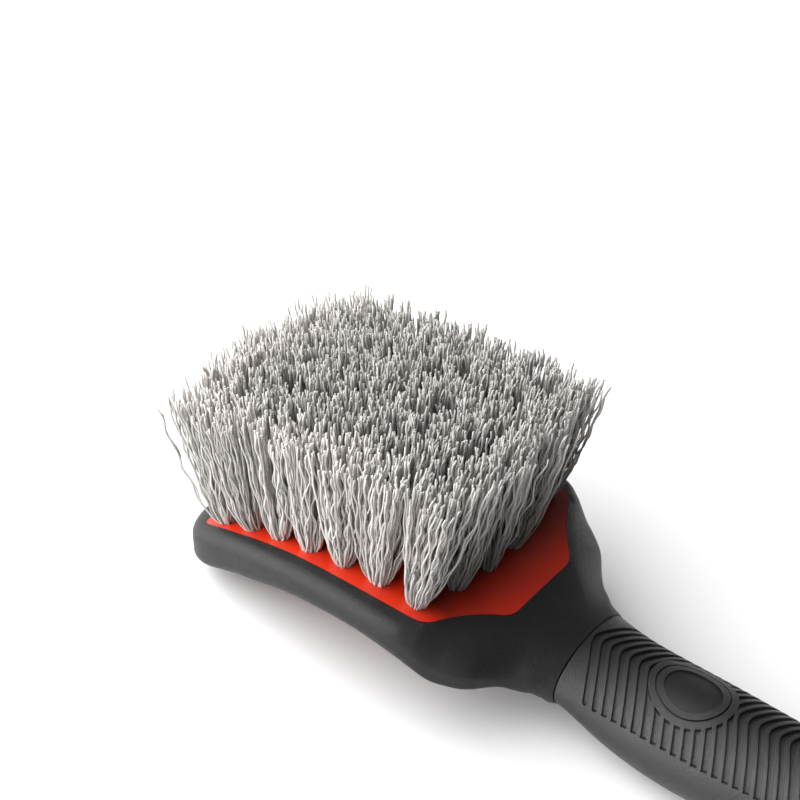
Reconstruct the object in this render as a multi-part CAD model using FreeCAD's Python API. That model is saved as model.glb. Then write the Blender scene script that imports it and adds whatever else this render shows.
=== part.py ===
"""Wheel brush: a red moulded core with an arched bristle block, a black soft
overmould around the head and neck, a ribbed rubber grip and 42 bristle tufts.

Every piece is drawn in the head frame: X runs along the brush from the front
of the head to the handle end, Y across it, Z along the bristles, with Z = 0 at
the highest line of the arched bristle block. At the end all pieces are tilted
together so that the brush rests on its back, bristles up.
"""
import FreeCAD, Part
import math
import os

Vector = FreeCAD.Vector
UP = Vector(0, 0, 1)
ACROSS = Vector(0, 1, 0)

# ---- bristle block -------------------------------------------------------
ARCH_RADIUS = 133.0          # the bristle face is part of a cylinder
ARCH_X = 31.0                # where that arch is highest
CORE_DEPTH = 5.6             # depth of the full-width part of the red core
BACK_PANEL_SCALE = 0.80      # size of the red back panel against the front one

# ---- tufts ----------------------------------------------------------------
TUFT_COLUMNS = 7             # along X
TUFT_ROWS = 6                # along Y
FIELD_X = 31.5               # centre of the tuft field
ROW_PITCH = 12.6
EDGE_PITCH = 10.5            # column pitch in the two outer rows
BOW_PITCH = 1.6              # extra column pitch on the centre line
ROW_BOW = 1.0                # the outer rows bow outwards by this much at mid length
COLUMN_DRIFT = -1.4          # and the middle columns sit this much nearer the front
TIP_EDGE_PITCH = 12.6        # the two column pitches at the bristle tips
TIP_BOW_PITCH = 1.3
TIP_HEIGHT = 36.0            # flat-trimmed bristle tips
HOLE_RADIUS = 2.5
HOLE_DEPTH = 6.4
TUFT_CLEARANCE = 0.06
TUFT_TIP_RADIUS = 6.0
TUFT_WAIST = 0.62            # tip radius share reached at half height
ANCHOR_LENGTH = 4.4
ANCHOR_WIDTH = 1.6
ANCHOR_THICKNESS = 0.35

# ---- plan outlines: (x, half width) ---------------------------------------
PLATE_FRONT_X = -10.8
PLATE_NOSE_X = 81.1
PLATE_ROUNDS = [(0.0, 3.5), (75.0, 6.0), (90.0, 9.0)]   # (up to this x, corner radius)
PLATE_FRONT_CORNER = (-6.2, 34.4)
PLATE_SIDE = [(9.0, 36.5), (26.0, 37.5), (42.0, 38.2), (55.0, 38.0)]
PLATE_BACK_CORNER = (68.6, 36.3)
PLATE_CHAMFER_MIDDLE = (74.3, 24.0)
PLATE_NOSE_CORNER = (81.1, 15.0)
BODY_FRONT_X = -19.6
BODY_HALF = [(-18.9, 12.0), (-16.8, 22.1), (-14.2, 29.4), (-7.6, 37.6), (5.0, 41.2),
             (20.0, 43.2), (38.0, 44.4), (52.0, 44.7), (63.0, 44.0), (69.0, 41.9),
             (75.5, 38.0), (80.2, 34.2), (83.2, 29.6), (87.0, 24.6), (91.5, 21.2)]
NECK_HALF_WIDTH = 18.9
NECK_TAPER = -0.25           # the neck still narrows a little at the seam
SEAM_X = 96.1                # where the neck meets the grip

# ---- head (x, thickness) and neck (x, top z, bottom z, crown) --------------
HEAD_STATIONS = [(-24.0, 12.6), (-12.0, 12.6), (0.0, 12.3), (12.0, 11.2), (24.0, 10.0), (36.0, 9.1),
                 (48.0, 8.9), (60.0, 9.7)]
NECK_STATIONS = [(70.0, -5.9, -18.9, 0.0), (76.0, -8.0, -21.3, 0.12), (82.0, -10.6, -24.4, 0.64),
                 (88.0, -13.9, -28.7, 1.76), (93.0, -17.0, -32.6, 3.12), (SEAM_X, -18.6, -34.9, 3.84),
                 (102.0, -20.9, -39.0, 4.8)]
FUNNEL_STATIONS = [(70.0, 92.0, 60.0), (80.0, 48.0, 33.0), (86.0, 31.0, 20.0), (91.0, 22.6, 12.4),
                   (SEAM_X, 18.4, 8.3)]
FUNNEL_RISE = 0.42           # the funnel's centre line climbs towards the head
FUNNEL_BLOCK = 240.0
SLAB_HALF = 52.0             # half width of the helper slabs the head is cut from
TOP_EDGE_ROUND = 4.0
BOTTOM_EDGE_ROUND = 4.0
SEAM_GAP = 0.4               # fine groove between the neck and the grip

# ---- grip: x, half width, half thickness ------------------------------------
GRIP_STATIONS = [(SEAM_X, 18.3, 8.2), (101.0, 17.8, 9.6), (107.0, 17.6, 11.3),
                 (119.0, 17.9, 12.8), (134.0, 17.8, 13.0), (153.0, 16.2, 11.9),
                 (172.0, 15.3, 11.5), (190.0, 16.0, 11.8), (205.0, 16.6, 12.1)]
CREST_BEND = 1.744e-4        # the grip's top line is a shallow parabola
CREST_SLOPE = -0.18034
CREST_START = -2.843
BUTT_LENGTH = 11.0           # domed end behind the last station
BUTT_ANGLES = (25, 45, 62, 76)
HANG_HOLE_X = 200.0
HANG_HOLE_RADIUS = 3.5

# ---- grip slots and badge ---------------------------------------------------
SLOT_FIRST_X = 97.9
SLOT_PITCH = 2.727
SLOT_COUNT = 34
SLOT_WIDTH = 1.6
SLOT_DEPTH = 0.9
SLOT_LEG = 16.0              # how far each leg reaches from the crest
SLOT_DROP = 8.6              # the slots stay above this depth under the crest
CHEVRON_SLOPE = 0.50
CHEVRON_BEND = 0.0045
CHEVRON_ROUND = 1.8          # rounds the apex
BADGE_X = 125.5
BADGE_RADIUS = 7.3
GROOVE_RADIUS = 9.6
BORDER_RADIUS = 11.4
BADGE_SINK = 0.35
BADGE_THICKNESS = 1.4
GROOVE_WIDTH = 0.45
GROOVE_DEPTH = 0.5
FIT_GAP = 0.05

# ---- helpers ------------------------------------------------------------------
HEAD_RUN = 100.0             # only the long edges of the head exceed this length
TILT_STEPS = 14

# ---- tang inside the grip ----------------------------------------------------
TANG_START_X = 74.0
TANG_END_X = 188.0
TANG_START_Z = -14.5
TANG_HALF_WIDTH = 9.0
TANG_HALF_HEIGHT = 3.6


def arch_z(x):
    """Height of the bristle face at x."""
    return math.sqrt(ARCH_RADIUS ** 2 - (x - ARCH_X) ** 2) - ARCH_RADIUS


def crest_z(x):
    """Height of the grip's top line at x."""
    return CREST_BEND * x * x + CREST_SLOPE * x + CREST_START


def smooth_edge(points, start=None, end=None):
    """One smooth curve through the points, with optional end directions."""
    curve = Part.BSplineCurve()
    if start is None:
        curve.interpolate(Points=points)
    else:
        curve.interpolate(Points=points, InitialTangent=start, FinalTangent=end)
    return curve.toShape()


def prism(edges, low, high):
    """A solid standing on a closed outline in the plan view."""
    wire = Part.Wire(Part.__sortEdges__(edges))
    face = Part.Face(wire)
    face.translate(Vector(0, 0, low))
    return face.extrude(Vector(0, 0, high - low))


def body_prism():
    """Plan outline of the head and neck, open in height."""
    points = [Vector(BODY_FRONT_X, 0, 0)]
    points += [Vector(x, y, 0) for x, y in BODY_HALF]
    points.append(Vector(SEAM_X, NECK_HALF_WIDTH, 0))
    upper = smooth_edge(points, Vector(0, 1, 0), Vector(1, NECK_TAPER, 0))
    lower = upper.mirror(Vector(0, 0, 0), ACROSS)
    seam = Part.makeLine(Vector(SEAM_X, -NECK_HALF_WIDTH, 0), Vector(SEAM_X, NECK_HALF_WIDTH, 0))
    return prism([upper, seam, lower], -80, 40)


def plate_prism(scale=1.0):
    """Plan outline of the red bristle plate, or of the smaller back panel."""
    def at(x, y):
        return Vector(FIELD_X + (x - FIELD_X) * scale, y * scale, 0)

    edges = []
    for side in (1, -1):
        front = at(PLATE_FRONT_CORNER[0], side * PLATE_FRONT_CORNER[1])
        back = at(PLATE_BACK_CORNER[0], side * PLATE_BACK_CORNER[1])
        nose = at(PLATE_NOSE_CORNER[0], side * PLATE_NOSE_CORNER[1])
        flank = [front] + [at(x, side * y) for x, y in PLATE_SIDE] + [back]
        edges.append(smooth_edge(flank))
        waist = at(PLATE_CHAMFER_MIDDLE[0], side * PLATE_CHAMFER_MIDDLE[1])
        edges.append(Part.Arc(back, waist, nose).toShape())
    top = at(PLATE_FRONT_CORNER[0], PLATE_FRONT_CORNER[1])
    low = at(PLATE_FRONT_CORNER[0], -PLATE_FRONT_CORNER[1])
    edges.append(Part.Arc(top, at(PLATE_FRONT_X, 0), low).toShape())
    edges.append(Part.makeLine(at(PLATE_NOSE_X, PLATE_NOSE_CORNER[1]),
                               at(PLATE_NOSE_X, -PLATE_NOSE_CORNER[1])))
    solid = prism(edges, -80, 40)
    start = PLATE_FRONT_X
    for limit, radius in PLATE_ROUNDS:
        low, high = at(start, 0).x, at(limit, 0).x
        corners = [edge for edge in solid.Edges if is_upright(edge) and low < edge.Vertexes[0].Point.x <= high]
        solid = solid.makeFillet(radius * scale, corners)
        start = limit
    return solid


def is_upright(edge):
    """True for a straight edge running along Z."""
    first = edge.Vertexes[0].Point
    last = edge.Vertexes[-1].Point
    return abs(first.x - last.x) + abs(first.y - last.y) < 1e-6 and edge.Length > 1


def crowned_slab(stations, reach):
    """Solid between a crowned surface and a far level on one side of it.

    Each station is (x, height on the centre line, crown); the crown is the
    fall of the surface at NECK_HALF_WIDTH from the centre line.
    """
    sections = []
    for x, middle, crown in stations:
        edge = middle - crown * (SLAB_HALF / NECK_HALF_WIDTH) ** 2
        curve = Part.BezierCurve()
        curve.setPoles([Vector(x, -SLAB_HALF, edge), Vector(x, 0, 2 * middle - edge),
                        Vector(x, SLAB_HALF, edge)])
        corners = [Vector(x, SLAB_HALF, edge), Vector(x, SLAB_HALF, reach),
                   Vector(x, -SLAB_HALF, reach), Vector(x, -SLAB_HALF, edge)]
        sides = [Part.makeLine(p, q) for p, q in zip(corners, corners[1:])]
        sections.append(Part.Wire([curve.toShape()] + sides))
    return Part.makeLoft(sections, True, False)


def head_envelope():
    """Arched slab that turns into the crowned neck."""
    top = [(x, arch_z(x), 0.0) for x, thickness in HEAD_STATIONS]
    bottom = [(x, arch_z(x) - thickness, 0.0) for x, thickness in HEAD_STATIONS]
    for x, high, low, crown in NECK_STATIONS:
        top.append((x, high, crown))
        bottom.append((x, low, -crown))
    return crowned_slab(top, -200.0).common(crowned_slab(bottom, 200.0))


def head_body():
    """Outer shape of the head and neck with both long edges rounded."""
    body = head_envelope().common(body_prism()).Solids[0]
    body = body.makeFillet(TOP_EDGE_ROUND, long_edges(body, True))
    body = body.makeFillet(BOTTOM_EDGE_ROUND, long_edges(body, False))
    return body.cut(outside_funnel()).Solids[0]


def outside_funnel():
    """Block with a funnel through it that draws the neck in to the section of the grip."""
    sections = []
    for x, half_width, half_height in FUNNEL_STATIONS:
        middle = Vector(x, 0, crest_z(SEAM_X) - GRIP_STATIONS[0][2] + (SEAM_X - x) * FUNNEL_RISE)
        sections.append(ellipse_wire(middle, half_width, half_height))
    corner = Vector(FUNNEL_STATIONS[0][0], -FUNNEL_BLOCK / 2, -FUNNEL_BLOCK / 2)
    block = Part.makeBox(FUNNEL_BLOCK / 4, FUNNEL_BLOCK, FUNNEL_BLOCK, corner)
    return block.cut(Part.makeLoft(sections, True, False))


def long_edges(body, upper):
    """The two edges that run from the front of the head to the seam."""
    runs = [edge for edge in body.Edges if edge.Length > HEAD_RUN]
    highest = max(edge.BoundBox.ZMax for edge in runs)
    lowest = min(edge.BoundBox.ZMin for edge in runs)
    if upper:
        return [edge for edge in runs if edge.BoundBox.ZMax > highest - 1.0]
    return [edge for edge in runs if edge.BoundBox.ZMin < lowest + 1.0]


def below_arch(depth):
    """Cylinder that fills everything deeper than this under the bristle face."""
    radius = ARCH_RADIUS - depth
    start = Vector(ARCH_X, -SLAB_HALF, -ARCH_RADIUS)
    return Part.makeCylinder(radius, 2 * SLAB_HALF, start, ACROSS)


def tang():
    """Bar of the core that runs through the neck into the grip."""
    sections = []
    for x, middle in tang_line():
        low = middle - TANG_HALF_HEIGHT
        high = middle + TANG_HALF_HEIGHT
        corners = [(-TANG_HALF_WIDTH, low), (TANG_HALF_WIDTH, low), (TANG_HALF_WIDTH, high),
                   (-TANG_HALF_WIDTH, high), (-TANG_HALF_WIDTH, low)]
        sections.append(Part.makePolygon([Vector(x, y, z) for y, z in corners]))
    return Part.makeLoft(sections, True, False)


def tang_line():
    """Centre line of the tang: (x, z)."""
    line = [(TANG_START_X, TANG_START_Z)]
    for x, top, bottom, crown in NECK_STATIONS[2:5]:
        line.append((x, (top + bottom) / 2))
    for x, half_width, half_height in GRIP_STATIONS:
        if x < TANG_END_X:
            line.append((x, crest_z(x) - half_height))
    line.append((TANG_END_X, crest_z(TANG_END_X) - GRIP_STATIONS[-2][2]))
    return line


def grip_solid(inset):
    """Grip without its slots; inset shrinks every section evenly."""
    sections = []
    for x, half_width, half_height in GRIP_STATIONS:
        middle = Vector(x, 0, crest_z(x) - half_height)
        sections.append(ellipse_wire(middle, half_width - inset, half_height - inset))
    for angle in BUTT_ANGLES:
        share = math.cos(math.radians(angle))
        step = Vector((BUTT_LENGTH - inset) * math.sin(math.radians(angle)), 0, 0)
        sections.append(ellipse_wire(middle + step, (half_width - inset) * share, (half_height - inset) * share))
    return Part.makeLoft(sections, True, False)


def ellipse_wire(middle, half_width, half_height):
    """Upright ellipse across the brush."""
    wide = middle + Vector(0, half_width, 0)
    high = middle + Vector(0, 0, half_height)
    return Part.Wire([Part.Ellipse(wide, high, middle).toShape()])


def chevron(distance):
    """How far behind its apex a chevron leg lies at this distance off centre."""
    rounded = math.hypot(distance, CHEVRON_ROUND) - CHEVRON_ROUND
    return CHEVRON_SLOPE * rounded - CHEVRON_BEND * distance ** 2


def slot_prism(apex):
    """One chevron slot, standing upright, with rounded leg ends."""
    half = SLOT_WIDTH / 2
    stops = [SLOT_LEG * share for share in (-1.0, -0.6, -0.3, -0.12, 0.0, 0.12, 0.3, 0.6, 1.0)]
    front = [Vector(apex + chevron(d) - half, d, 0) for d in stops]
    back = [Vector(apex + chevron(d) + half, d, 0) for d in stops]
    edges = [smooth_edge(front), smooth_edge(back)]
    for side, end in ((-1, 0), (1, -1)):
        tip = Vector(apex + chevron(SLOT_LEG), side * (SLOT_LEG + half), 0)
        edges.append(Part.Arc(front[end], tip, back[end]).toShape())
    return prism(edges, crest_z(apex) - SLOT_DROP, 0)


def slots():
    """All chevron slots of the grip, kept clear of the badge border."""
    floor = grip_solid(SLOT_DEPTH)
    border = badge_column(BORDER_RADIUS)
    tools = []
    for number in range(SLOT_COUNT):
        apex = SLOT_FIRST_X + number * SLOT_PITCH
        tool = slot_prism(apex).cut(floor)
        if abs(apex + chevron(BORDER_RADIUS) / 2 - BADGE_X) < BORDER_RADIUS + chevron(BORDER_RADIUS):
            tool = tool.cut(border)
        tools.append(tool)
    return tools


def badge_column(radius):
    """Upright cylinder over the badge."""
    middle = crest_z(BADGE_X) - GRIP_STATIONS[3][2]
    return Part.makeCylinder(radius, -middle, Vector(BADGE_X, 0, middle), UP)


def badge():
    """Round plain medallion that follows the curve of the grip."""
    disc = badge_column(BADGE_RADIUS - FIT_GAP).common(grip_solid(BADGE_SINK))
    return disc.cut(grip_solid(BADGE_THICKNESS)).Solids[0]


def badge_seat():
    """Pocket of the badge and the fine groove round its border."""
    pocket = badge_column(BADGE_RADIUS).cut(grip_solid(BADGE_THICKNESS + FIT_GAP))
    ring = badge_column(GROOVE_RADIUS).cut(badge_column(GROOVE_RADIUS - GROOVE_WIDTH))
    return pocket, ring.cut(grip_solid(GROOVE_DEPTH))


def grid_point(column, row, edge_pitch, bow_pitch):
    """Plan position in the barrel-shaped tuft grid, at the roots or at the tips."""
    outer = ROW_PITCH * (TUFT_ROWS - 1) / 2
    y = (row - (TUFT_ROWS - 1) / 2) * ROW_PITCH
    along = column - (TUFT_COLUMNS - 1) / 2
    middling = 1 - (2 * along / (TUFT_COLUMNS - 1)) ** 2
    pitch = edge_pitch + bow_pitch * (1 - (y / outer) ** 2)
    x = FIELD_X + along * pitch + COLUMN_DRIFT * middling
    return x, y * (1 + ROW_BOW / outer * middling)


def tuft_axes():
    """Root point and direction of every tuft, named by row and column."""
    axes = []
    for row in range(TUFT_ROWS):
        for column in range(TUFT_COLUMNS):
            x, y = grid_point(column, row, EDGE_PITCH, BOW_PITCH)
            root = Vector(x, y, arch_z(x))
            tip_x, tip_y = grid_point(column, row, TIP_EDGE_PITCH, TIP_BOW_PITCH)
            direction = Vector(tip_x, tip_y, TIP_HEIGHT).sub(root).normalize()
            axes.append(("tuft_row%d_column%d" % (row + 1, column + 1), root, direction))
    return axes


def tuft(root, direction):
    """Closed stand-in for one bundle of bristles, flared and trimmed flat."""
    length = (TIP_HEIGHT - root.z) / direction.z
    foot = HOLE_RADIUS - TUFT_CLEARANCE
    start = -HOLE_DEPTH + TUFT_CLEARANCE + ANCHOR_WIDTH
    reach = length + TUFT_TIP_RADIUS
    flare = Part.BSplineCurve()
    flare.interpolate([Vector(foot, 0, 0), Vector(TUFT_TIP_RADIUS * TUFT_WAIST, 0, length / 2),
                       Vector(TUFT_TIP_RADIUS, 0, length)])
    rim = [Vector(TUFT_TIP_RADIUS, 0, length), Vector(TUFT_TIP_RADIUS, 0, reach), Vector(0, 0, reach),
           Vector(0, 0, start), Vector(foot, 0, start), Vector(foot, 0, 0)]
    edges = [flare.toShape()] + [Part.makeLine(p, q) for p, q in zip(rim, rim[1:])]
    bundle = Part.Face(Part.Wire(edges)).revolve(Vector(0, 0, 0), UP, 360)
    bundle = Part.Solid(bundle.Shells[0]) if bundle.ShapeType != "Solid" else bundle
    trimmed = placed(bundle, root, direction)
    return trimmed.cut(Part.makeBox(300, 300, 60, Vector(-150, -150, TIP_HEIGHT))).Solids[0]


def placed(shape, root, direction):
    """Move a shape drawn along Z onto a tuft axis."""
    moved = shape.copy()
    moved.Placement = FreeCAD.Placement(root, FreeCAD.Rotation(UP, direction))
    return moved


def hole(root, direction):
    """Blind tuft hole."""
    return placed(Part.makeCylinder(HOLE_RADIUS, HOLE_DEPTH + 2, Vector(0, 0, -HOLE_DEPTH)), root, direction)


def anchor(root, direction):
    """Flat wire piece that holds the folded bristles at the bottom of a hole."""
    corner = Vector(-ANCHOR_THICKNESS / 2, -ANCHOR_LENGTH / 2, -HOLE_DEPTH + TUFT_CLEARANCE)
    plate = Part.makeBox(ANCHOR_THICKNESS, ANCHOR_LENGTH, ANCHOR_WIDTH - TUFT_CLEARANCE, corner)
    return placed(plate, root, direction)


def hang_hole():
    """Upright bore through the butt of the grip."""
    return Part.makeCylinder(HANG_HOLE_RADIUS, 80, Vector(HANG_HOLE_X, 0, -80), UP)


def build_pieces():
    """All pieces in the head frame, by name."""
    axes = tuft_axes()
    holes = Part.makeCompound([hole(root, direction) for name, root, direction in axes])
    body = head_body()
    front = body.common(plate_prism()).cut(below_arch(CORE_DEPTH))
    back = body.common(plate_prism(BACK_PANEL_SCALE))
    core = front.fuse([back, tang()]).cut(holes).Solids[0]
    gap = Part.makeBox(SEAM_GAP, 80, 80, Vector(SEAM_X - SEAM_GAP, -40, -80))
    overmould = body.cut(front).cut([back, tang(), gap]).Solids[0]
    pocket, groove = badge_seat()
    grip = grip_solid(0.0).cut(slots() + [pocket, groove, tang(), hang_hole()]).Solids[0]
    pieces = {"core": core, "head_overmould": overmould, "grip_sleeve": grip, "grip_badge": badge()}
    pieces["tuft_anchors"] = Part.makeCompound([anchor(root, direction) for name, root, direction in axes])
    for name, root, direction in axes:
        pieces[name] = tuft(root, direction)
    return pieces


def lowest(shape, tilt):
    """Lowest height of a shape after tilting it by this angle."""
    turned = shape.copy()
    turned.rotate(Vector(0, 0, 0), ACROSS, -tilt)
    return turned.optimalBoundingBox().ZMin


def rest_tilt():
    """Tilt at which the head and the grip touch the table together."""
    head = head_body()
    grip = grip_solid(0.0)
    low = 0.0
    high = 30.0
    for step in range(TILT_STEPS):
        middle = (low + high) / 2
        if lowest(grip, middle) < lowest(head, middle):
            low = middle
        else:
            high = middle
    return (low + high) / 2


def overall_box(pieces):
    """Exact box round everything."""
    box = FreeCAD.BoundBox()
    for shape in pieces.values():
        box.add(shape.optimalBoundingBox())
    return box


def main():
    """Build, tilt to rest, put the origin under the middle and export."""
    pieces = build_pieces()
    tilt = rest_tilt()
    for shape in pieces.values():
        shape.rotate(Vector(0, 0, 0), ACROSS, -tilt)
    box = overall_box(pieces)
    shift = Vector(-box.Center.x, -box.Center.y, -box.ZMin)
    print("tilt %.3f degrees, shift %.3f %.3f %.3f" % (tilt, shift.x, shift.y, shift.z))
    os.makedirs("parts", exist_ok=True)
    for name, shape in pieces.items():
        shape.translate(shift)
        shape.exportStep("parts/%s.step" % name)
        print(name, shape.isValid(), len(shape.Solids), round(shape.Volume, 1))


main()
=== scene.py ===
"""Looks for the wheel brush: filament bundles, plastic and rubber finishes, floor, light and camera.

Points are worked out in the head frame, in millimetres: X runs along the brush from the front of the
head, Y across it, Z along the bristles, with Z = 0 on top of the arched bristle block. to_row() takes
them to the row frame, where the brush lies tilted on its back.
"""
import math

import bmesh
import bpy
import numpy as np
from mathutils import Matrix, Vector


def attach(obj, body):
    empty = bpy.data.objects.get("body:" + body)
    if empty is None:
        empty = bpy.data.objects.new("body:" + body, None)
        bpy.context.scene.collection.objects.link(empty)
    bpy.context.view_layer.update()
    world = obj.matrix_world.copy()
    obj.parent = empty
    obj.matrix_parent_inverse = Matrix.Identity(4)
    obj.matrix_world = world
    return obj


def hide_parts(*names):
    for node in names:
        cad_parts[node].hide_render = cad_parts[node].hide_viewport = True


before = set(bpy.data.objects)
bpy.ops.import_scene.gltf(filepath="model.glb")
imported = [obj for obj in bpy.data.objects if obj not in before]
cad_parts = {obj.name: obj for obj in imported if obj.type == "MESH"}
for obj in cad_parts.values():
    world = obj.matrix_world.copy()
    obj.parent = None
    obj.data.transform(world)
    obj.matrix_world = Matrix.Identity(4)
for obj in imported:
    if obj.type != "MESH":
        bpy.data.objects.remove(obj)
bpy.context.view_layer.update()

# ---- the head frame's place in the row frame --------------------------------
TILT = math.radians(11.291)
SHIFT = np.array([-98.994, 0.0, 23.344])
TURN = np.array([[math.cos(TILT), 0.0, -math.sin(TILT)],
                 [0.0, 1.0, 0.0],
                 [math.sin(TILT), 0.0, math.cos(TILT)]])

# ---- head and tuft sizes, as in the CAD part ---------------------------------
ARCH_RADIUS = 133.0
ARCH_X = 31.0
COLUMNS = 7
ROWS = 6
FIELD_X = 31.5
ROW_PITCH = 12.6
EDGE_PITCH = 10.5
BOW_PITCH = 1.6
TIP_EDGE_PITCH = 12.6
TIP_BOW_PITCH = 1.3
ROW_BOW = 1.0
COLUMN_DRIFT = -1.4
TIP_HEIGHT = 36.0
HOLE_RADIUS = 2.5
CREST_BEND = 1.744e-4
CREST_SLOPE = -0.18034
CREST_START = -2.843


def to_row(points):
    """Head frame, millimetres, to row frame, metres."""
    return (np.asarray(points, float) @ TURN.T + SHIFT) / 1000.0


def to_head(points):
    """Row frame, metres, to head frame, millimetres."""
    return (np.asarray(points, float) * 1000.0 - SHIFT) @ TURN


def arch_z(x):
    """Height of the arched bristle face."""
    return np.sqrt(ARCH_RADIUS ** 2 - (x - ARCH_X) ** 2) - ARCH_RADIUS


def crest_z(x):
    """Height of the grip's top line."""
    return CREST_BEND * x * x + CREST_SLOPE * x + CREST_START


def smooth_step(value, low, high):
    share = np.clip((value - low) / (high - low), 0.0, 1.0)
    return share * share * (3 - 2 * share)


def add_object(name, data):
    thing = bpy.data.objects.new(name, data)
    bpy.context.scene.collection.objects.link(thing)
    return thing


# ---- camera ------------------------------------------------------------------
CAMERA_AZIMUTH = math.radians(35.66)         # turned from straight across the brush
CAMERA_ELEVATION = math.radians(28.45)       # above the bristle block
CAMERA_TARGET = np.array([21.46, 19.01, 18.25])
CAMERA_DISTANCE = 399.4
LENS = 63.4
SENSOR_WIDTH = 36.0


def make_camera():
    back = np.array([math.sin(CAMERA_AZIMUTH) * math.cos(CAMERA_ELEVATION),
                     -math.cos(CAMERA_AZIMUTH) * math.cos(CAMERA_ELEVATION),
                     math.sin(CAMERA_ELEVATION)])
    right = np.array([math.cos(CAMERA_AZIMUTH), math.sin(CAMERA_AZIMUTH), 0.0])
    up = np.cross(back, right)
    place = to_row(CAMERA_TARGET + back * CAMERA_DISTANCE)
    turn = Matrix((TURN @ np.stack([right, up, back], axis=1)).tolist()).to_4x4()
    data = bpy.data.cameras.new("camera")
    data.sensor_width = SENSOR_WIDTH
    data.lens = LENS
    data.clip_start = 0.01
    data.clip_end = 20.0
    camera = add_object("camera", data)
    camera.matrix_world = Matrix.Translation(place.tolist()) @ turn
    bpy.context.scene.camera = camera


# ---- material helpers ----------------------------------------------------------
CLOUD_LOW, CLOUD_HIGH = 0.3, 0.7             # the noise values that get the first and the last colour


def new_material(name):
    material = bpy.data.materials.new(name)
    material.use_nodes = True
    nodes = material.node_tree.nodes
    links = material.node_tree.links
    nodes.clear()
    out = nodes.new("ShaderNodeOutputMaterial")
    shader = nodes.new("ShaderNodeBsdfPrincipled")
    links.new(shader.outputs[0], out.inputs[0])
    return material, nodes, links, shader


def grey(level):
    return (level, level, level)


def add_noise(nodes, links, scale, detail=4.0, rough=0.5):
    where = nodes.new("ShaderNodeTexCoord")
    noise = nodes.new("ShaderNodeTexNoise")
    noise.inputs["Scale"].default_value = scale
    noise.inputs["Detail"].default_value = detail
    noise.inputs["Roughness"].default_value = rough
    links.new(where.outputs["Object"], noise.inputs["Vector"])
    return noise.outputs[0]


def add_ramp(nodes, links, source, stops):
    ramp = nodes.new("ShaderNodeValToRGB")
    elements = ramp.color_ramp.elements
    while len(elements) < len(stops):
        elements.new(0.5)
    for element, (position, colour) in zip(elements, stops):
        element.position = position
        element.color = (*colour, 1.0)
    links.new(source, ramp.inputs[0])
    return ramp.outputs[0]


def add_clouds(nodes, links, noise, low, high):
    """Soft patches between two colours."""
    return add_ramp(nodes, links, noise, [(CLOUD_LOW, low), (CLOUD_HIGH, high)])


def add_range(nodes, links, source, before, after, smooth=False):
    """Maps one pair of values to another, clamped at both ends."""
    change = nodes.new("ShaderNodeMapRange")
    if smooth:
        change.interpolation_type = "SMOOTHSTEP"
    for socket, value in zip(("From Min", "From Max", "To Min", "To Max"), (*before, *after)):
        change.inputs[socket].default_value = value
    links.new(source, change.inputs["Value"])
    return change.outputs[0]


def add_math(nodes, links, operation, first, second):
    result = nodes.new("ShaderNodeMath")
    result.operation = operation
    links.new(first, result.inputs[0])
    links.new(second, result.inputs[1])
    return result.outputs[0]


def add_dot(nodes, links, vector, direction):
    dot = nodes.new("ShaderNodeVectorMath")
    dot.operation = "DOT_PRODUCT"
    dot.inputs[1].default_value = direction
    links.new(vector, dot.inputs[0])
    return dot.outputs["Value"]


def add_axis(nodes, links, vector, axis):
    split = nodes.new("ShaderNodeSeparateXYZ")
    links.new(vector, split.inputs[0])
    return split.outputs[axis]


def add_bump(nodes, links, shader, height, strength, distance, under=None):
    bump = nodes.new("ShaderNodeBump")
    bump.inputs["Strength"].default_value = strength
    bump.inputs["Distance"].default_value = distance
    links.new(height, bump.inputs["Height"])
    if under is not None:
        links.new(under, bump.inputs["Normal"])
    links.new(bump.outputs[0], shader.inputs["Normal"])


def paint(thing, material):
    for index in reversed(range(len(thing.data.materials))):
        thing.data.materials.pop(index=index)
    thing.data.materials.append(material)


# ---- materials -------------------------------------------------------------------
# Painted shadow: the plate is darker in a patch on the handle side of the tufts, where their shadow falls. It
# is also darker on its downward faces, under the core.
SHADE_START, SHADE_END = 64.0, 83.0          # head X over which the patch fades out towards the handle
SHADE_FRONT = 58.0                           # head X where the patch begins, in full by SHADE_START
SHADE_LEVEL = 0.30
SHADE_SIDE = (-0.034, -0.024)                # row Y, metres: the near edge of the plate stays bright
UNDER_LEVEL = 0.35
UNDER_NORMAL = (-0.3, 0.0)                   # from here down a face counts as the underside

BEVEL_RADIUS = 0.00028                       # look of moulded edges on the rubber
BEVEL_SAMPLES = 6


def plate_painted_shadow_and_underside(nodes, links):
    """1 where the red is in full, lower in the painted shadow patch and on the downward faces of the underside.
    """
    place = nodes.new("ShaderNodeTexCoord").outputs["Object"]
    along = add_dot(nodes, links, place, TURN[:, 0].tolist())
    start = float(TURN[:, 0] @ SHIFT)
    at = [(x + start) / 1000.0 for x in (SHADE_FRONT, SHADE_START, SHADE_END)]
    fade = add_range(nodes, links, along, (at[1], at[2]), (SHADE_LEVEL, 1.0), smooth=True)
    near = add_range(nodes, links, add_axis(nodes, links, place, "Y"), SHADE_SIDE, (1.0, 0.0), smooth=True)
    front = add_range(nodes, links, along, (at[0], at[1]), (1.0, 0.0))
    patch = add_math(nodes, links, "MAXIMUM", add_math(nodes, links, "MAXIMUM", fade, near), front)
    normal = nodes.new("ShaderNodeNewGeometry").outputs["Normal"]
    under = add_range(nodes, links, add_axis(nodes, links, normal, "Z"), UNDER_NORMAL, (UNDER_LEVEL, 1.0))
    return add_math(nodes, links, "MINIMUM", patch, under)


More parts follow.
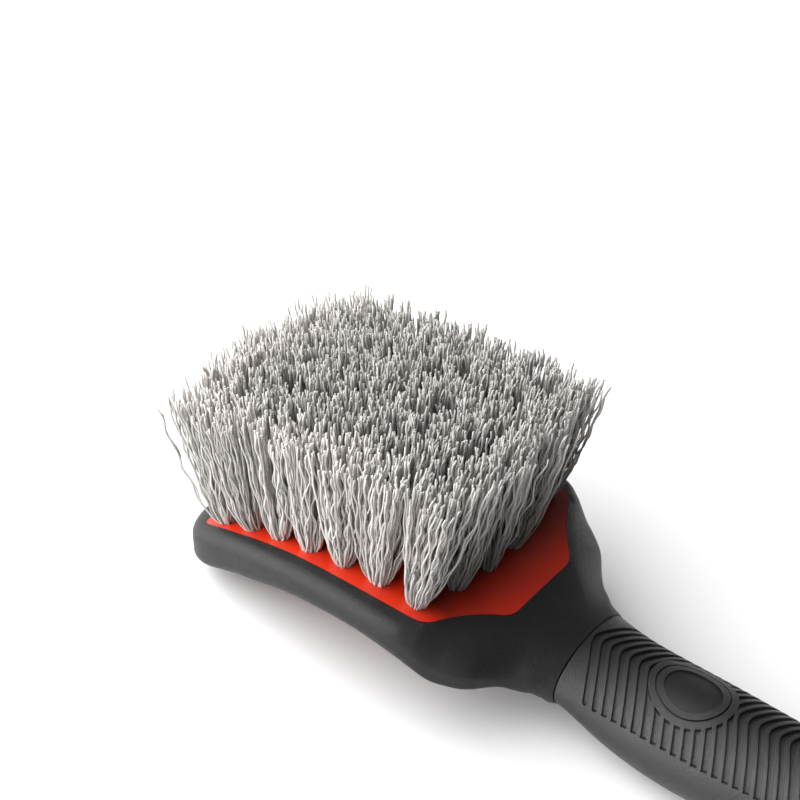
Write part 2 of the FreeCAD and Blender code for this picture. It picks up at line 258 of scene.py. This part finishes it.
def red_plastic():
    material, nodes, links, shader = new_material("red_core_plastic")
    clouds = add_clouds(nodes, links, add_noise(nodes, links, 60.0),
                        (0.47, 0.018, 0.004), (0.53, 0.023, 0.005))
    # The red is scaled down in the painted shadow patch and on the downward faces.
    shaded = nodes.new("ShaderNodeVectorMath")
    shaded.operation = "SCALE"
    links.new(clouds, shaded.inputs[0])
    links.new(plate_painted_shadow_and_underside(nodes, links), shaded.inputs["Scale"])
    links.new(shaded.outputs[0], shader.inputs["Base Color"])
    haze = add_clouds(nodes, links, add_noise(nodes, links, 240.0), grey(0.30), grey(0.38))
    links.new(haze, shader.inputs["Roughness"])
    add_bump(nodes, links, shader, add_noise(nodes, links, 2600.0, 2.0), 0.12, 0.0002)
    shader.inputs["Subsurface Weight"].default_value = 0.08
    shader.inputs["Subsurface Radius"].default_value = (0.002, 0.0006, 0.0004)
    shader.inputs["Subsurface Scale"].default_value = 1.0
    return material


def black_rubber(name, low, high, grain, gloss=0.5):
    material, nodes, links, shader = new_material(name)
    clouds = add_clouds(nodes, links, add_noise(nodes, links, 35.0, 6.0, 0.6), low, high)
    links.new(clouds, shader.inputs["Base Color"])
    haze = add_clouds(nodes, links, add_noise(nodes, links, 900.0), grey(0.38), grey(0.50))
    links.new(haze, shader.inputs["Roughness"])
    shader.inputs["Specular IOR Level"].default_value = gloss
    soft = nodes.new("ShaderNodeBevel")
    soft.samples = BEVEL_SAMPLES
    soft.inputs["Radius"].default_value = BEVEL_RADIUS
    add_bump(nodes, links, shader, add_noise(nodes, links, 3600.0, 3.0), grain, 0.00035, soft.outputs[0])
    return material


def filament_plastic():
    material, nodes, links, shader = new_material("bristle_filament")
    # fibre_tone carries the filaments' own tone together with painted light and shade.
    tone = nodes.new("ShaderNodeAttribute")
    tone.attribute_name = "fibre_tone"
    links.new(tone.outputs["Color"], shader.inputs["Base Color"])
    haze = add_clouds(nodes, links, add_noise(nodes, links, 500.0), grey(0.42), grey(0.58))
    links.new(haze, shader.inputs["Roughness"])
    shader.inputs["Specular IOR Level"].default_value = 0.25
    add_bump(nodes, links, shader, add_noise(nodes, links, 1500.0, 2.0), 0.2, 0.0002)
    return material


def steel_wire():
    material, nodes, links, shader = new_material("anchor_wire_steel")
    shader.inputs["Metallic"].default_value = 1.0
    clouds = add_clouds(nodes, links, add_noise(nodes, links, 800.0), (0.55, 0.55, 0.56), (0.66, 0.66, 0.67))
    links.new(clouds, shader.inputs["Base Color"])
    shader.inputs["Roughness"].default_value = 0.35
    return material


# ---- moulded pieces: finer copies of the CAD solids ------------------------------
# (x, top z, bottom z) of the neck, then (x, half width) of the body and of the plate
NECK_LINE = np.array([(62.0, -4.0, -13.6), (70.0, -5.9, -18.9), (76.0, -8.0, -21.3),
                      (82.0, -10.6, -24.4), (88.0, -13.9, -28.7), (93.0, -17.0, -32.6),
                      (96.1, -18.6, -34.9)])
BODY_LINE = np.array([(62.0, 44.0), (69.0, 41.9), (75.5, 38.0), (80.2, 34.2), (83.2, 29.6),
                      (87.0, 24.6), (91.5, 21.2), (96.1, 18.6)])
PLATE_LINE = np.array([(62.0, 37.2), (68.6, 36.3), (74.3, 24.0), (81.1, 15.0), (90.0, 8.0), (96.1, 4.0)])
# (x, half width, half height) of the grip
GRIP_LINE = np.array([(96.1, 18.3, 8.2), (101.0, 17.8, 9.6), (107.0, 17.6, 11.3),
                      (119.0, 17.9, 12.8), (134.0, 17.8, 13.0), (153.0, 16.2, 11.9),
                      (172.0, 15.3, 11.5), (190.0, 16.0, 11.8), (205.0, 16.6, 12.1)])

NECK_SLOPE = 6.5              # how far the outer top edge of the neck drops
NECK_SLOPE_POWER = 1.6
NECK_SAG = 1.6                # how far the outer bottom edge drops
NECK_WAIST = 0.05             # share taken off the far half width just before the seam
SEAM_CLOSE = 0.22             # the copy reaches this much further into the seam groove
SLOT_FLOOR_DEPTH = 0.45       # faces deeper than this in the grip are slot floors
SLOT_FLOOR_DROP = 10.5        # and no lower than this under the crest
WELD_DISTANCE = 2e-6
SHARP_ANGLE = math.radians(28.0)


def finer_copy(source, name, longest, rounds):
    """Mesh copy of a CAD node with its long edges split."""
    mesh = source.data.copy()
    mesh.name = name
    mesh.transform(source.matrix_world)
    shading = [layer.name for layer in mesh.attributes if "normal" in layer.name or "sharp" in layer.name]
    for layer_name in shading:
        mesh.attributes.remove(mesh.attributes[layer_name])
    work = bmesh.new()
    work.from_mesh(mesh)
    bmesh.ops.remove_doubles(work, verts=work.verts, dist=WELD_DISTANCE)
    for _ in range(rounds):
        long_edges = [edge for edge in work.edges if edge.calc_length() > longest]
        bmesh.ops.subdivide_edges(work, edges=long_edges, cuts=1)
        bmesh.ops.triangulate(work, faces=work.faces)
    work.to_mesh(mesh)
    work.free()
    return add_object(name, mesh)


def vertices(mesh):
    flat = np.empty(len(mesh.vertices) * 3)
    mesh.vertices.foreach_get("co", flat)
    return to_head(flat.reshape(-1, 3))


def shape_neck(mesh):
    """Slope the sides of the neck down and outwards, and draw it in before the seam."""
    points = vertices(mesh)
    x, y, z = points[:, 0], np.abs(points[:, 1]), points[:, 2]
    top, low = [np.interp(x, NECK_LINE[:, 0], NECK_LINE[:, column]) for column in (1, 2)]
    body = np.interp(x, BODY_LINE[:, 0], BODY_LINE[:, 1])
    plate = np.interp(x, PLATE_LINE[:, 0], PLATE_LINE[:, 1])
    level = np.clip((z - low) / (top - low), 0.0, 1.0)
    out = np.clip((y - plate) / (body - plate), 0.0, 1.0)
    zone = smooth_step(x, 64.0, 74.0) * (1 - smooth_step(x, 84.0, 96.5))
    slope = NECK_SLOPE * out ** NECK_SLOPE_POWER * level
    sag = NECK_SAG * out * (1 - level)
    points[:, 2] -= zone * (slope + sag)
    waist = smooth_step(x, 84.0, 91.0) * (1 - smooth_step(x, 92.0, 96.0))
    points[:, 1] *= 1 - NECK_WAIST * waist * (points[:, 1] > 0)
    points[:, 0] += SEAM_CLOSE * smooth_step(x, 94.5, 95.6)
    mesh.vertices.foreach_set("co", to_row(points).ravel())
    mesh.update()


def mark_slot_floors(mesh):
    """Second material on the faces that lie at the bottom of the grip's slots: a paler black for their textured
    floors, partly a painted sheen for the light those floors catch.
    """
    points = vertices(mesh)
    corners = np.empty(len(mesh.polygons) * 3, int)
    mesh.polygons.foreach_get("vertices", corners)
    corners = corners.reshape(-1, 3)
    x, y, z = points.T
    wide = np.interp(x, GRIP_LINE[:, 0], GRIP_LINE[:, 1])
    tall = np.interp(x, GRIP_LINE[:, 0], GRIP_LINE[:, 2])
    span = np.hypot(y / wide, (z - crest_z(x) + tall) / tall)
    deep = (1 - span) * np.minimum(wide, tall) > SLOT_FLOOR_DEPTH
    middle = points[corners].mean(axis=1)
    high = middle[:, 2] > crest_z(middle[:, 0]) - SLOT_FLOOR_DROP
    floor = deep[corners].all(axis=1) & high
    mesh.polygons.foreach_set("material_index", floor.astype(int))


def finish_copy(thing, node_name):
    for face in thing.data.polygons:
        face.use_smooth = True
    thing.data.set_sharp_from_angle(angle=SHARP_ANGLE)
    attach(thing, "root")
    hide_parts(node_name)


# ---- bristles --------------------------------------------------------------------
# Sizes in millimetres, angles in radians. A tuft's filaments stand in locks that share a wave.
FILAMENTS = 112
LOCKS = 15
FILAMENT_RADIUS = 0.28
SIDES = 5
STEPS = 22

GOLDEN_ANGLE = 2.39996        # spreads the locks evenly over the tuft
LOCK_TURN = 0.35              # scatter of the filaments round their lock, as angle
LOCK_SHARE = 0.13             # and as share of the tuft's radius
FOOT_RADIUS = HOLE_RADIUS - 0.22
FOOT_SINK = 1.5               # the filaments start this far down in the hole
TIP_REACH = 6.9               # radius of a tuft at its tips
TIP_SQUARE = 0.62             # 0 is a round tuft top, 1 a square one
LOCK_SCATTER = 0.7
TIP_SCATTER = 1.05
RIM_SCATTER = 1.5             # the same in the near row and the first and last columns
STRAY = 0.6                   # mean lean of the outermost filaments
FRONT_STRAY = 1.4             # the same in the first column
STRAY_CHANCE = 0.6
STRAY_DROP = 0.2              # a leaning tip ends lower by this share of its lean
EASE_START = 0.04             # the filaments fan out from this share of their length
EASE_POWER = 0.58

DOME_REACH_X, DOME_REACH_Y = 40.0, 36.0
DOME_HEIGHT = 1.9             # the middle of the brush stands this much over TIP_HEIGHT
DOME_CURVE_X, DOME_CURVE_Y = 1.2, 1.4
DOME_LEAN_X, DOME_LEAN_Y = 1.5, 1.6

LOCK_HEIGHT_SCATTER = 1.0
HEIGHT_SCATTER = 0.9
SHORT_TIP = 0.6               # mean shortfall of a filament

WAVE_LENGTH = 11.0
WAVE_SIZE = 0.58
WAVE_START = 2.0              # the wave grows in from here
WAVE_GROWTH = 9.0             # over this length
WAVE_PHASE_SCATTER = 1.4
WAVE_TURN_SCATTER = 1.1
SECOND_SIZE = 0.25            # a smaller, shorter wave across the first one
SECOND_LENGTH = 0.6
SECOND_PHASE = 2.3

FIBRE_TONE = np.array([0.425, 0.408, 0.392])
TONE_SCATTER = 0.09
OUTER_PAINTED_LIGHT = 1.13             # painted light: near row and first column made lighter, as if better lit
CORNER_PAINTED_SHADE = 0.96            # painted shade: near corner on the handle side
# painted shade: all other tufts darker
INNER_PAINTED_SHADE = 0.88
SHADE_INNER = (0.12, 0.5, 0.95)    # painted shade low down in the inner tufts: tone at the foot, and the shares of height between which it clears up
# the same painted shade low down in the handle-side column, past the near row
SHADE_LAST = (0.30, 0.15, 0.95)


def grid_point(column, row, edge_pitch, bow_pitch):
    """Place of a tuft in the bowed grid."""
    outer = ROW_PITCH * (ROWS - 1) / 2
    y = (row - (ROWS - 1) / 2) * ROW_PITCH
    along = column - (COLUMNS - 1) / 2
    middling = 1 - (2 * along / (COLUMNS - 1)) ** 2
    pitch = edge_pitch + bow_pitch * (1 - (y / outer) ** 2)
    return FIELD_X + along * pitch + COLUMN_DRIFT * middling, y * (1 + ROW_BOW / outer * middling)


def square_disc(angle, radius):
    """A disc pushed towards a square, so that neighbouring bundles meet."""
    cosine, sine = np.cos(angle), np.sin(angle)
    push = 1.0 / np.maximum(np.abs(cosine), np.abs(sine))
    stretch = 1 + TIP_SQUARE * (push - 1)
    return np.stack([radius * cosine * stretch, radius * sine * stretch], axis=1)


def tuft_ends(rng, tip, column, row, lock):
    """Foot offsets of one tuft's filaments in their hole, their tip offsets and their tip heights."""
    count = len(lock)
    order = np.arange(LOCKS) + 0.5
    lock_angle = order * GOLDEN_ANGLE + rng.uniform(0, 2 * math.pi)
    lock_share = np.sqrt(order / LOCKS)
    angle = lock_angle[lock] + rng.normal(0, LOCK_TURN, count)
    share = np.clip(lock_share[lock] + rng.normal(0, LOCK_SHARE, count), 0.02, 1.0)
    foot = np.stack([np.cos(angle), np.sin(angle)], axis=1) * (share * FOOT_RADIUS)[:, None]

    lock_tip = square_disc(lock_angle, lock_share * TIP_REACH) + rng.normal(0, LOCK_SCATTER, (LOCKS, 2))
    rim = row == 0 or column in (0, COLUMNS - 1)
    spread = lock_tip[lock] + rng.normal(0, RIM_SCATTER if rim else TIP_SCATTER, (count, 2))
    outward = np.array([column - (COLUMNS - 1) / 2, row - (ROWS - 1) / 2])
    edge = np.array([abs(outward[0]) == (COLUMNS - 1) / 2, abs(outward[1]) == (ROWS - 1) / 2], float)
    lean = rng.exponential(FRONT_STRAY if column == 0 else STRAY, (count, 2))
    stray = lean * (rng.uniform(0, 1, (count, 1)) < STRAY_CHANCE) * edge * np.sign(outward)
    spread += stray

    reach = np.array([tip[0] - FIELD_X, tip[1]])[None, :] + spread
    along, across = reach[:, 0] / DOME_REACH_X, reach[:, 1] / DOME_REACH_Y
    dome = (DOME_HEIGHT - DOME_CURVE_X * along ** 2 - DOME_LEAN_X * along
            - DOME_CURVE_Y * across ** 2 + DOME_LEAN_Y * across)
    height = (TIP_HEIGHT + dome + rng.normal(0, LOCK_HEIGHT_SCATTER, LOCKS)[lock]
              + rng.normal(0, HEIGHT_SCATTER, count))
    height -= rng.exponential(SHORT_TIP, count) + STRAY_DROP * np.hypot(stray[:, 0], stray[:, 1])
    return foot, spread, height


def add_wave(rng, path, run, lock):
    """Crimp the filaments, each by its own amount and roughly in step with its lock."""
    count = len(lock)
    own = rng.uniform(0, 1, (count, 1))
    phase = (rng.uniform(0, 2 * math.pi, LOCKS)[lock][:, None]
             + rng.normal(0, WAVE_PHASE_SCATTER, (count, 1)))
    turn = (rng.uniform(0, 2 * math.pi, LOCKS)[lock][:, None]
            + rng.normal(0, WAVE_TURN_SCATTER, (count, 1)))
    wave = WAVE_LENGTH * rng.uniform(0.8, 1.3, (count, 1))
    size = WAVE_SIZE * (0.35 + 0.95 * own)
    grow = np.clip((run - WAVE_START) / WAVE_GROWTH, 0, 1)
    swing = size * grow * np.sin(2 * math.pi * run / wave + phase)
    second = (SECOND_SIZE * size * grow
              * np.sin(2 * math.pi * run / (wave * SECOND_LENGTH) + SECOND_PHASE * phase))
    path[:, :, 0] += swing * np.cos(turn) - second * np.sin(turn)
    path[:, :, 1] += swing * np.sin(turn) + second * np.cos(turn)


def bundle_paths(rng, root, tip, column, row):
    """Centre lines of one tuft's filaments: (filament, step, xyz) in the head frame."""
    lock = np.arange(FILAMENTS) % LOCKS
    foot, spread, height = tuft_ends(rng, tip, column, row, lock)
    axis = (tip - root) / np.linalg.norm(tip - root)
    side = np.cross([0.0, 1.0, 0.0], axis)
    side /= np.linalg.norm(side)
    cross = np.cross(axis, side)
    start = (root - axis * FOOT_SINK)[None, None, :]
    away = (foot[:, :1] * side + foot[:, 1:] * cross)[:, None, :]
    end = np.stack([tip[0] + spread[:, 0], tip[1] + spread[:, 1], height], axis=1)[:, None, :]
    gap = end - tip[None, None, :]

    climb = np.linspace(0.0, 1.0, STEPS)[None, :, None]
    ease = np.clip((climb - EASE_START) / (1 - EASE_START), 0, 1) ** EASE_POWER
    sideways = away * (1 - ease) + gap * ease
    sideways[:, :, 2] = away[:, :, 2] * (1 - ease[:, :, 0]) + gap[:, :, 2] * climb[:, :, 0]
    path = start + (tip - root)[None, None, :] * climb + sideways
    run = np.linalg.norm(end - start, axis=2) * climb[:, :, 0]
    add_wave(rng, path, run, lock)
    return path


def fibre_tones_with_painted_shading(rng, column, row, count):
    """Colours (filament, step, rgb): random tone plus painted light and shade, outer tufts painted light, inner
    and handle-side ones painted dark low down as shade.
    """
    tone = np.ones((count, STEPS, 3)) * FIBRE_TONE
    tone *= rng.normal(1.0, TONE_SCATTER, (count, 1, 1))
    if row == 0 and column == COLUMNS - 1:
        tone *= CORNER_PAINTED_SHADE
    else:
        tone *= OUTER_PAINTED_LIGHT if row == 0 or column == 0 else INNER_PAINTED_SHADE
    # painted shade low down: inner tufts and the handle-side column
    shade = None
    if 0 < row < ROWS - 1 and 0 < column < COLUMNS - 1:
        shade = SHADE_INNER
    elif column == COLUMNS - 1 and row > 0:
        shade = SHADE_LAST
    if shade is not None:
        foot, low, high = shade
        clear = smooth_step(np.linspace(0, 1, STEPS), low, high)
        tone *= (foot + (1 - foot) * clear)[None, :, None]
    return np.clip(tone, 0.03, 0.95)


def tubes(paths, radius, tone):
    """Vertices, side faces, end faces and colours of blunt filaments along the paths."""
    count, steps, _ = paths.shape
    ahead = np.gradient(paths, axis=1)
    ahead /= np.linalg.norm(ahead, axis=2, keepdims=True)
    flat = np.cross(ahead, np.array([0.31, 0.95, 0.02]))
    flat /= np.linalg.norm(flat, axis=2, keepdims=True)
    other = np.cross(ahead, flat)
    angle = np.linspace(0, 2 * math.pi, SIDES, endpoint=False)
    ring = radius[:, None, None, None] * (np.cos(angle)[None, None, :, None] * flat[:, :, None, :]
                                          + np.sin(angle)[None, None, :, None] * other[:, :, None, :])
    points = (paths[:, :, None, :] + ring).reshape(-1, 3)
    filament = np.arange(count)[:, None, None]
    step = np.arange(steps - 1)[None, :, None]
    here = np.arange(SIDES)[None, None, :]
    base = (filament * steps + step) * SIDES
    beside = (here + 1) % SIDES
    quads = np.stack([base + here, base + beside, base + SIDES + beside, base + SIDES + here], axis=-1)
    first = np.arange(count)[:, None] * steps * SIDES
    last = first + (steps - 1) * SIDES
    ends = np.concatenate([last + np.arange(SIDES)[None, :], first + np.arange(SIDES)[::-1][None, :]])
    return points, quads.reshape(-1, 4), ends, np.repeat(tone, SIDES, axis=1).reshape(-1, 3)


def make_mesh(name, points, quads, ends, colours, material):
    mesh = bpy.data.meshes.new(name)
    mesh.from_pydata(to_row(points).tolist(), [], quads.tolist() + ends.tolist())
    attribute = mesh.color_attributes.new("fibre_tone", "FLOAT_COLOR", "POINT")
    rgba = np.concatenate([colours, np.ones((len(colours), 1))], axis=1).astype(np.float32)
    attribute.data.foreach_set("color", rgba.ravel())
    mesh.polygons.foreach_set("use_smooth", [True] * len(quads) + [False] * len(ends))
    mesh.materials.append(material)
    mesh.update()
    return add_object(name, mesh)


def make_bristles(material):
    for row in range(ROWS):
        for column in range(COLUMNS):
            rng = np.random.default_rng(1000 + row * 50 + column)
            x, y = grid_point(column, row, EDGE_PITCH, BOW_PITCH)
            root = np.array([x, y, arch_z(x)])
            tip = np.array([*grid_point(column, row, TIP_EDGE_PITCH, TIP_BOW_PITCH), TIP_HEIGHT])
            paths = bundle_paths(rng, root, tip, column, row)
            radius = FILAMENT_RADIUS * rng.uniform(0.85, 1.12, len(paths))
            tone = fibre_tones_with_painted_shading(rng, column, row, len(paths))
            thing = make_mesh("bristles_row%d_column%d" % (row + 1, column + 1),
                              *tubes(paths, radius, tone), material)
            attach(thing, "root")
            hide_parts("tuft_row%d_column%d" % (row + 1, column + 1))


# ---- floor and light ----------------------------------------------------------------
FLOOR_HALF = 4.0
SKY_DIRECTION = Vector((-0.66, -0.58, 0.47)).normalized()    # where the big soft light stands
SKY_STEPS = [(0.0, 0.018), (0.42, 0.025), (0.6, 0.12), (0.8, 0.75), (1.0, 1.0)]
SKY_STRENGTH = 6.8
HORIZON_BAND = (0.05, 0.11)   # below these heights the sky is pale all round
HORIZON_LEVEL = 0.2
LAMP_PLACE, LAMP_AIM = (-0.75, 0.05, 1.0), (-0.04, 0, 0.03)
LAMP_SIZE, LAMP_POWER = 0.9, 3.0


def make_floor():
    material, nodes, links, shader = new_material("studio_floor")
    clouds = add_clouds(nodes, links, add_noise(nodes, links, 3.0), grey(0.775), grey(0.795))
    links.new(clouds, shader.inputs["Base Color"])
    shader.inputs["Roughness"].default_value = 0.55
    mesh = bpy.data.meshes.new("floor")
    corners = [(x * FLOOR_HALF, y * FLOOR_HALF, 0) for x, y in ((-1, -1), (1, -1), (1, 1), (-1, 1))]
    mesh.from_pydata(corners, [], [(0, 1, 2, 3)])
    mesh.materials.append(material)
    add_object("floor", mesh)


def make_sky():
    world = bpy.data.worlds.new("studio")
    world.use_nodes = True
    nodes, links = world.node_tree.nodes, world.node_tree.links
    sky = nodes["Background"]
    direction = nodes.new("ShaderNodeTexCoord").outputs["Generated"]
    facing = add_dot(nodes, links, direction, SKY_DIRECTION)
    glow = add_ramp(nodes, links, facing, [(at, grey(level)) for at, level in SKY_STEPS])
    band = add_range(nodes, links, add_axis(nodes, links, direction, "Z"), HORIZON_BAND, (HORIZON_LEVEL, 0.0))
    pale = nodes.new("ShaderNodeVectorMath")
    pale.operation = "MAXIMUM"
    links.new(glow, pale.inputs[0])
    links.new(band, pale.inputs[1])
    links.new(pale.outputs[0], sky.inputs[0])
    sky.inputs[1].default_value = SKY_STRENGTH
    bpy.context.scene.world = world


def make_lamp():
    data = bpy.data.lights.new("overhead", "AREA")
    data.shape = "DISK"
    data.size = LAMP_SIZE
    data.energy = LAMP_POWER
    lamp = add_object("overhead", data)
    turn = (Vector(LAMP_AIM) - Vector(LAMP_PLACE)).to_track_quat("-Z", "Y")
    lamp.matrix_world = Matrix.Translation(LAMP_PLACE) @ turn.to_matrix().to_4x4()


# ---- build ------------------------------------------------------------------------------
make_camera()
make_floor()
make_sky()
make_lamp()
bpy.context.scene.view_settings.view_transform = "Standard"

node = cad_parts
paint(node["core"], red_plastic())

head = finer_copy(node["head_overmould"], "head_rubber", 0.0025, 3)
shape_neck(head.data)
finish_copy(head, "head_overmould")
paint(head, black_rubber("overmould_rubber", (0.0055, 0.0055, 0.0057), (0.0080, 0.0080, 0.0083), 0.7, 0.37))

grip = finer_copy(node["grip_sleeve"], "grip_rubber", 0.006, 1)
mark_slot_floors(grip.data)
finish_copy(grip, "grip_sleeve")
grip_rubber = black_rubber("grip_rubber", (0.0035, 0.0035, 0.0037), (0.0060, 0.0060, 0.0062), 0.6, 0.62)
paint(grip, grip_rubber)
# Slot floors: a paler black for their textured finish, partly painted sheen standing in for the light they
# catch.
grip.data.materials.append(black_rubber("slot_floor_texture_and_painted_sheen", (0.030, 0.030, 0.031), (0.055, 0.055, 0.056), 0.9))

paint(node["head_overmould"], grip_rubber)
paint(node["grip_sleeve"], grip_rubber)
paint(node["grip_badge"], black_rubber("badge_rubber", (0.0040, 0.0040, 0.0043), (0.0070, 0.0070, 0.0073), 0.4))
paint(node["tuft_anchors"], steel_wire())
make_bristles(filament_plastic())
